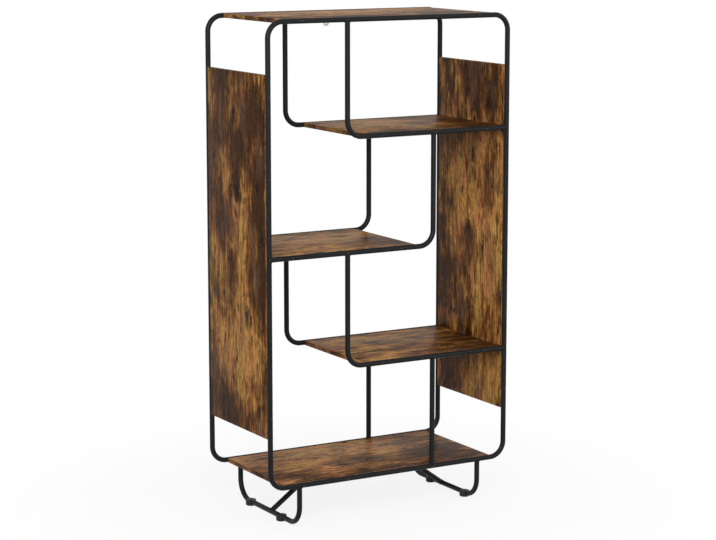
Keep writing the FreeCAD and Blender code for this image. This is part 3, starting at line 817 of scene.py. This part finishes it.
def tube(corners, bend_radius, looks):
    """A ring of edges extruded along each run of a path and spun through each bend."""
    heading = (corners[1] - corners[0]).normalized()
    select_only()
    bpy.ops.mesh.primitive_circle_add(
        vertices=looks.sides,
        radius=TUBE_RADIUS,
        fill_type="NOTHING",
        location=corners[0],
        rotation=UP.rotation_difference(heading).to_euler(),
    )
    piece = active()
    apply_place(piece)
    edit_all(piece)
    at = corners[0].copy()
    for i in range(1, len(corners)):
        heading = (corners[i] - corners[i - 1]).normalized()
        last = i == len(corners) - 1
        run_end = corners[i] if last else corners[i] - heading * bend_radius
        bpy.ops.mesh.extrude_region_move(TRANSFORM_OT_translate={"value": run_end - at})
        if last:
            break
        onward = (corners[i + 1] - corners[i]).normalized()
        bpy.ops.mesh.spin(
            steps=looks.bend_steps,
            angle=math.pi / 2,
            center=run_end + onward * bend_radius,
            axis=onward.cross(heading),
        )
        at = corners[i] + onward * bend_radius
    close_up(piece)
    return piece


def frame_paths(looks):
    """The sharp corners and the bend of every tube of the front frame."""
    top, bottom = RAIL_Z["top"], RAIL_Z["bottom"]
    loop = ((0, bottom), (UPRIGHT_X, bottom), (UPRIGHT_X, top), (-UPRIGHT_X, top))
    loop += ((-UPRIGHT_X, bottom), (0, bottom))
    paths = {"outer_frame": (loop, looks.corner_bend)}
    for level, above, side in LEVELS:
        hung = ((-side * DIVIDER_X, RAIL_Z[above]), (-side * DIVIDER_X, RAIL_Z[level]))
        hung += ((side * UPRIGHT_X, RAIL_Z[level]),)
        paths[f"{level}_divider"] = (hung, looks.shelf_bend)
    paths["base_post"] = (((DIVIDER_X, RAIL_Z["lower"]), (DIVIDER_X, bottom)), looks.shelf_bend)
    return {
        name: ([Vector((x, FRAME_Y["front"], z)) for x, z in corners], bend_radius)
        for name, (corners, bend_radius) in paths.items()
    }


def left_foot(looks):
    """A U of tube from the front frame down to the floor and up to the rear frame."""
    front, rear, bottom = FRAME_Y["front"], FRAME_Y["rear"], RAIL_Z["bottom"]
    bent = ((front, bottom), (front, BAR_Z), (rear, BAR_Z), (rear, bottom))
    corners = [Vector((middle("left_foot").x, y, z)) for y, z in bent]
    return tube(corners, looks.foot_bend, looks)


def brace_line(side):
    """Where a brace starts on its bar and where it meets its plate."""
    plate = middle(f"{side}_brace_plate")
    bar_x = middle(f"{side}_foot").x
    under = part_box(f"{side}_brace_plate")[0].z
    return Vector((bar_x, plate.y, BAR_Z)), Vector((plate.x, plate.y, under))


def left_brace(looks):
    """A slanted tube cut flat under its plate."""
    start, end = brace_line("left")
    heading = (end - start).normalized()
    piece = tube([start, end + heading * 2 * TUBE_RADIUS], 0, looks)
    edit_all(piece)
    bpy.ops.mesh.bisect(plane_co=end, plane_no=UP, use_fill=True, clear_outer=True)
    leave_edit_mode()
    return piece


def welded_joints():
    """For each tube end on another tube: the crossing, the way to the end, the other's axis."""
    joints = {"front": [], "rear": [], "foot": []}
    for end, y in FRAME_Y.items():
        for level, above, side in LEVELS:
            hung = Vector((-side * DIVIDER_X, y, RAIL_Z[above]))
            joints[end].append((hung, -UP, ALONG_X))
            joined = Vector((side * UPRIGHT_X, y, RAIL_Z[level]))
            joints[end].append((joined, -side * ALONG_X, UP))
        joints[end].append((Vector((DIVIDER_X, y, RAIL_Z["lower"])), -UP, ALONG_X))
        joints[end].append((Vector((DIVIDER_X, y, RAIL_Z["bottom"])), UP, ALONG_X))
        for x in (-FOOT_X, FOOT_X):
            joints["foot"].append((Vector((x, y, RAIL_Z["bottom"])), -UP, ALONG_X))
    for side in ("left", "right"):
        start, end = brace_line(side)
        joints["foot"].append((start, (end - start).normalized(), ALONG_Y))
    return joints


def bead(shape, looks):
    """A rippled weld bead along the closed line that a shape gives."""
    count = RIPPLE_POINTS * looks.ripples
    select_only()
    bpy.ops.mesh.primitive_circle_add(vertices=count, fill_type="NOTHING")
    for i, vertex in enumerate(active().data.vertices):
        vertex.co = shape(2 * math.pi * i / count)
    bpy.ops.object.convert(target="CURVE")
    line = active().data
    line.bevel_depth = looks.bead
    line.bevel_resolution = BEAD_STEPS
    for i, point in enumerate(line.splines[0].points):
        point.radius = 1 + RIPPLE_SWELL * math.cos(2 * math.pi * looks.ripples * i / count)
    bpy.ops.object.convert(target="MESH")
    return active()


def saddle(turn):
    """A point of the line on which an upright tube's end meets the side of a tube along X."""
    lift = math.sqrt(math.cos(turn) ** 2 + SADDLE_LIFT)
    return Vector((math.cos(turn), math.sin(turn), lift)) * TUBE_RADIUS


def plate_oval(turn):
    """A point of the oval on which a brace, which leans along X, meets its plate."""
    start, end = brace_line("right")
    stretch = (end - start).length / (end.z - start.z)
    return Vector((stretch * math.cos(turn), math.sin(turn), 0)) * TUBE_RADIUS


def joint_place(crossing, away, axis):
    """Puts what is modelled upright on a tube along X on a joint."""
    turned = Matrix((axis, away.cross(axis), away)).transposed().to_4x4()
    return Matrix.Translation(crossing) @ turned


class SHELVING_OT_tubes(bpy.types.Operator):
    """Bent tubes of the two frames and the two feet"""

    bl_idname = "shelving.tubes"
    bl_label = "Tubes"

    def execute(self, context):
        looks = context.scene.tube_looks
        to_rear = Matrix.Translation(ALONG_Y * (FRAME_Y["rear"] - FRAME_Y["front"]))
        for name, (corners, bend_radius) in frame_paths(looks).items():
            piece = tube(corners, bend_radius, looks)
            steel_pair(piece, to_rear, (f"front_{name}", f"rear_{name}"), "tube")
        steel_pair(left_foot(looks), HALF_TURN, ("left_foot", "right_foot"), "tube")
        steel_pair(left_brace(looks), HALF_TURN, ("left_brace", "right_brace"), "tube")
        return {"FINISHED"}


class SHELVING_OT_welds(bpy.types.Operator):
    """Weld beads where a tube's end meets another tube or a plate"""

    bl_idname = "shelving.welds"
    bl_label = "Welds"

    def execute(self, context):
        looks = context.scene.tube_looks
        round_tube = bead(saddle, looks)
        under_plate = bead(plate_oval, looks)
        for place, joints in welded_joints().items():
            places = [joint_place(*joint) for joint in joints]
            piece = copies_of(round_tube, places, f"{place}_welds")
            if place == "foot":
                heads = [Matrix.Translation(brace_line(side)[1]) for side in ("left", "right")]
                ovals = copies_of(under_plate, heads, "plate_welds")
                piece = join([ovals, piece], "foot_welds")
            close_up(piece)
            smooth(piece, WELD_SMOOTH)
            settle(piece, "black_steel", [powder_coat()])
        discard(round_tube, under_plate)
        return {"FINISHED"}


# Boards


class SHELVING_OT_boards(bpy.types.Operator):
    """Shelves and side panels with their printed surface and edging"""

    bl_idname = "shelving.boards"
    bl_label = "Boards"

    def execute(self, context):
        looks = context.scene.board_looks
        decor, knot = decor_group(looks), knot_group()
        for alike in (("top_board", "bottom_board"), SHELVES, PANELS):
            master = block(middle(alike[0]), extent(alike[0]))
            round_edges(master, lambda edge: True, looks.arris, BOARD_STEPS)
            smooth(master, BOARD_SMOOTH)
            grain, through = ("Z", 0) if alike == PANELS else ("X", 2)
            for node in alike:
                away = middle(node) - middle(alike[0])
                piece = copied_to(Matrix.Translation(away), master, f"{node}_decor")
                prints = [decor_material(node, grain, decor, knot, band) for band in (0, 1)]
                settle(piece, "rustic_board", prints, node)
                for polygon in piece.data.polygons:
                    polygon.material_index = 0 if abs(polygon.normal[through]) > 0.5 else 1
            discard(master)
        return {"FINISHED"}


# Plates and strap


def flat_plate(node, corners):
    """A plate of a node's size; corners gives the rounding of the corners that a test picks."""
    size = extent(node)
    thin = min(range(3), key=lambda i: size[i])
    piece = block(middle(node), size)

    def stands_at(test):
        """A test for the short edges at the corners that another test picks."""
        return lambda edge: test(edge.verts[0].co) and (
            abs((edge.verts[0].co - edge.verts[1].co)[thin]) > size[thin] / 2
        )

    for test, radius in corners:
        round_edges(piece, stands_at(test), radius, CORNER_STEPS)
    return piece


class SHELVING_OT_plates(bpy.types.Operator):
    """Brace plates under the bottom board"""

    bl_idname = "shelving.plates"
    bl_label = "Brace plates"

    def execute(self, context):
        looks = context.scene.fitting_looks
        piece = flat_plate("left_brace_plate", [(lambda corner: True, looks.plate_corner)])
        ease_edges(piece, PLATE_ARRIS, PLATE_EASED)
        steel_pair(piece, HALF_TURN, ("left_brace_plate", "right_brace_plate"), "steel")
        return {"FINISHED"}


class SHELVING_OT_strap(bpy.types.Operator):
    """Plated wall strap behind the top rail"""

    bl_idname = "shelving.strap"
    bl_label = "Wall strap"

    def execute(self, context):
        looks = context.scene.fitting_looks
        zinc = coated_material("Zinc plate", scaled(looks.zinc, ZINC_DULL), looks.zinc)
        centre = middle("wall_strap")
        corners = [
            (lambda corner: corner.z < centre.z, looks.strap_end),
            (lambda corner: corner.z > centre.z, looks.strap_corner),
        ]
        piece = flat_plate("wall_strap", corners)
        piece.name = "wall_strap_plate"
        mount = next(m for m in frame["record"]["mounts"] if m["name"] == "wall_fixing")
        hole_radius = mount["dims"]["r_mm"] / 1000
        reach = DRILL_LENGTH * extent("wall_strap").y
        drill = cylinder(HOLE_SIDES, hole_radius, reach, mount["pos_m"], LYING_ALONG_Y)
        cut_away(piece, drill)
        ease_edges(piece, PLATE_ARRIS, PLATE_EASED)
        smooth(piece)
        settle(piece, "zinc_plate", [zinc], "wall_strap")
        return {"FINISHED"}


# Glides and screws


def glide_places(looks):
    """Where each glide stands, on the floor under its bar."""
    places = []
    for side, sign in (("left", 1), ("right", -1)):
        foot_centre = middle(f"{side}_foot")
        for way in (-1, 1):
            y = foot_centre.y + sign * looks.glide_shift + way * looks.glide_spacing / 2
            places.append(Matrix.Translation((foot_centre.x, y, 0)))
    return places


def model_glide(looks):
    """A moulded puck on the floor at the origin, with rounded rims, grooved along Y for the bar."""
    height = extent("glides").z
    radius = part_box("glides")[1].x - FOOT_X
    piece = cylinder(GLIDE_SIDES, radius, height, UP * height / 2)
    round_edges(piece, at_height(height), looks.glide_shoulder, RIM_STEPS)
    round_edges(piece, at_height(0.0), looks.glide_sole_round, RIM_STEPS)
    groove_radius, reach = TUBE_RADIUS + GROOVE_CLEARANCE, GROOVE_LENGTH * radius
    groove = cylinder(GROOVE_SIDES, groove_radius, reach, UP * BAR_Z, LYING_ALONG_Y)
    cut_away(piece, groove)
    ease_edges(piece, GLIDE_ARRIS, GLIDE_EASED)
    return piece


class SHELVING_OT_glides(bpy.types.Operator):
    """Moulded glides snapped on the bars of the feet"""

    bl_idname = "shelving.glides"
    bl_label = "Glides"

    def execute(self, context):
        looks = context.scene.fitting_looks
        light = scaled(looks.plastic, PLASTIC_LIGHT)
        plastic = coated_material("Black moulded plastic", looks.plastic, light)
        master = model_glide(looks)
        piece = copies_of(master, glide_places(looks), "moulded_glides")
        discard(master)
        smooth(piece)
        settle(piece, "black_plastic", [plastic], "glides")
        return {"FINISHED"}


def solids_of(node):
    """Lowest and highest corner of each separate solid of a node, read from a merged copy."""
    copied = bmesh.new()
    copied.from_mesh(frame["nodes"][node].data)
    bmesh.ops.remove_doubles(copied, verts=copied.verts, dist=SAME_PLACE)
    waiting = set(copied.verts)
    boxes = []
    while waiting:
        found, reached = set(), [waiting.pop()]
        while reached:
            vertex = reached.pop()
            found.add(vertex)
            for edge in vertex.link_edges:
                other = edge.other_vert(vertex)
                if other in waiting:
                    waiting.discard(other)
                    reached.append(other)
        low = Vector([min(v.co[i] for v in found) for i in range(3)])
        high = Vector([max(v.co[i] for v in found) for i in range(3)])
        boxes.append((low, high))
    copied.free()
    return sorted(boxes, key=lambda box: tuple(box[0]))


def model_screw(radius, height, length_below):
    """A screw seated at the origin: domed head above with a cross recess, shank below."""
    head = cylinder(HEAD_SIDES, radius, height, UP * height / 2)
    round_edges(head, at_height(height), height * DOME, DOME_STEPS)
    slot = (radius * CROSS_LENGTH, radius * CROSS_WIDTH, height * CROSS_DEPTH)
    for turn in (0, math.pi / 2):
        cut_away(head, block(UP * height, slot, (0, 0, turn)))
    shank_radius = radius * SHANK
    shank = cylinder(SHANK_SIDES, shank_radius, length_below, -UP * length_below / 2)
    round_edges(shank, at_height(-length_below), shank_radius * TIP, TIP_STEPS)
    return join([head, shank], "screw")


def screw_place(low, high, whole, head_height):
    """Puts a screw on a solid's place, with its head to the front, to the rear or down."""
    size = high - low
    level = -ALONG_Y if low.y < 0 else ALONG_Y
    heading = -UP if size.z > size.y else level
    seat = (low + high) / 2 + heading * (whole / 2 - head_height)
    turned = UP.rotation_difference(heading).to_matrix().to_4x4()
    return Matrix.Translation(seat) @ turned


class SHELVING_OT_screws(bpy.types.Operator):
    """Blackened screws of the boards, panels, plates and strap"""

    bl_idname = "shelving.screws"
    bl_label = "Screws"

    def execute(self, context):
        looks = context.scene.fitting_looks
        head = looks.screw_head
        light = scaled(looks.screw_black, SCREW_LIGHT)
        black = coated_material("Blackened screw", looks.screw_black, light)
        masters = {}
        for node in SCREW_SETS:
            boxes = solids_of(node)
            size = boxes[0][1] - boxes[0][0]
            whole = max(size.y, size.z)
            kind = round(whole, 4)
            if kind not in masters:
                masters[kind] = model_screw(size.x / 2, head, whole - head)
            places = [screw_place(low, high, whole, head) for low, high in boxes]
            piece = copies_of(masters[kind], places, f"{node}_set")
            smooth(piece)
            settle(piece, "dark_screw", [black], node)
        discard(*masters.values())
        return {"FINISHED"}


# Stage

# Distances from the origin over which the shadow fades from the floor
SHADOW_FADE = (0.45, 1.3)
SENSOR_WIDTH = 36
WHITE = (1, 1, 1)


def shown_ray(tree):
    """One for the rays that show the background: camera, glossy and transmission."""
    path = tree.nodes.new("ShaderNodeLightPath").outputs
    either = maths(tree, "MAXIMUM", path["Is Camera Ray"], path["Is Glossy Ray"])
    return maths(tree, "MAXIMUM", either, path["Is Transmission Ray"])


def floor_material(looks):
    """Plain pale floor, shown white, with the object's shadow kept near the object."""
    material = bpy.data.materials.new("Pale floor")
    tree = emptied(material)
    out = tree.nodes.new("ShaderNodeOutputMaterial")
    place = tree.nodes.new("ShaderNodeTexCoord").outputs["Object"]
    away = shade(tree, "VectorMath", {0: place}, operation="LENGTH").outputs["Value"]
    far = fit(tree, away, *SHADOW_FADE, looks.near_white, 1.0)
    plain = shade(tree, "BsdfDiffuse", {"Color": looks.floor_tone}).outputs[0]
    white = shade(tree, "Emission", {"Color": WHITE, "Strength": 1.0}).outputs[0]
    shown = shade(tree, "MixShader", {0: far, 1: plain, 2: white}).outputs[0]
    duller = shade(tree, "BsdfDiffuse", {"Color": looks.bounce_tone}).outputs[0]
    mixed = shade(tree, "MixShader", {0: shown_ray(tree), 1: duller, 2: shown})
    tree.links.new(mixed.outputs[0], out.inputs["Surface"])
    return material


def surround(context, looks):
    """Even light from all sides, with white shown behind the object."""
    world = bpy.data.worlds.new("White surround")
    context.scene.world = world
    tree = emptied(world)
    strength = fit(tree, shown_ray(tree), 0.0, 1.0, looks.ambient, 1.0, soft=False)
    glow = shade(tree, "Background", {"Color": WHITE, "Strength": strength})
    out = tree.nodes.new("ShaderNodeOutputWorld")
    tree.links.new(glow.outputs[0], out.inputs["Surface"])


def lamp(name, power, location, looks):
    """A large soft lamp aimed at the object."""
    bpy.ops.object.light_add(type="AREA", location=location)
    made = active()
    made.name = name
    made.data.energy = power
    made.data.size = looks.lamp_size
    made.rotation_euler = (Vector(looks.aim) - Vector(location)).to_track_quat("-Z", "Y").to_euler()


class SHELVING_OT_stage(bpy.types.Operator):
    """Pale floor, white surround, soft lamps and the camera"""

    bl_idname = "shelving.stage"
    bl_label = "Stage"

    def execute(self, context):
        looks = context.scene.stage_looks
        select_only()
        bpy.ops.mesh.primitive_plane_add(size=looks.floor_size)
        floor = active()
        floor.name = "floor"
        floor.data.materials.append(floor_material(looks))
        surround(context, looks)
        lamp("key_lamp", looks.key_power, looks.key_place, looks)
        lamp("fill_lamp", looks.fill_power, looks.fill_place, looks)
        bpy.ops.object.camera_add(
            location=looks.eye,
            rotation=Euler((math.pi / 2 - looks.eye_pitch, 0, -looks.eye_turn)),
        )
        camera = active()
        camera.data.lens = looks.lens
        camera.data.sensor_width = SENSOR_WIDTH
        context.scene.camera = camera
        context.scene.view_settings.view_transform = "Standard"
        return {"FINISHED"}


class SHELVING_PT_unit(bpy.types.Panel):
    """Builds the unit piece by piece"""

    bl_label = "Shelving Unit"
    bl_idname = "SHELVING_PT_unit"
    bl_space_type = "VIEW_3D"
    bl_region_type = "UI"
    bl_category = "Shelving Unit"

    def draw(self, context):
        for operator in OPERATORS:
            self.layout.operator(operator.bl_idname)


OPERATORS = (
    SHELVING_OT_stage,
    SHELVING_OT_tubes,
    SHELVING_OT_welds,
    SHELVING_OT_boards,
    SHELVING_OT_plates,
    SHELVING_OT_glides,
    SHELVING_OT_screws,
    SHELVING_OT_strap,
)
GROUPS = {
    "tube_looks": TubeLooks,
    "board_looks": BoardLooks,
    "fitting_looks": FittingLooks,
    "stage_looks": StageLooks,
}


def register():
    for name, group in GROUPS.items():
        bpy.utils.register_class(group)
        setattr(bpy.types.Scene, name, PointerProperty(type=group))
    for operator in OPERATORS:
        bpy.utils.register_class(operator)
    bpy.utils.register_class(SHELVING_PT_unit)


def unregister():
    bpy.utils.unregister_class(SHELVING_PT_unit)
    for operator in reversed(OPERATORS):
        bpy.utils.unregister_class(operator)
    for name, group in reversed(GROUPS.items()):
        delattr(bpy.types.Scene, name)
        bpy.utils.unregister_class(group)


def main():
    register()
    bpy.ops.shelving.stage()
    bpy.ops.shelving.tubes()
    bpy.ops.shelving.welds()
    bpy.ops.shelving.boards()
    bpy.ops.shelving.plates()
    bpy.ops.shelving.glides()
    bpy.ops.shelving.screws()
    bpy.ops.shelving.strap()


if __name__ == "__main__":
    main()
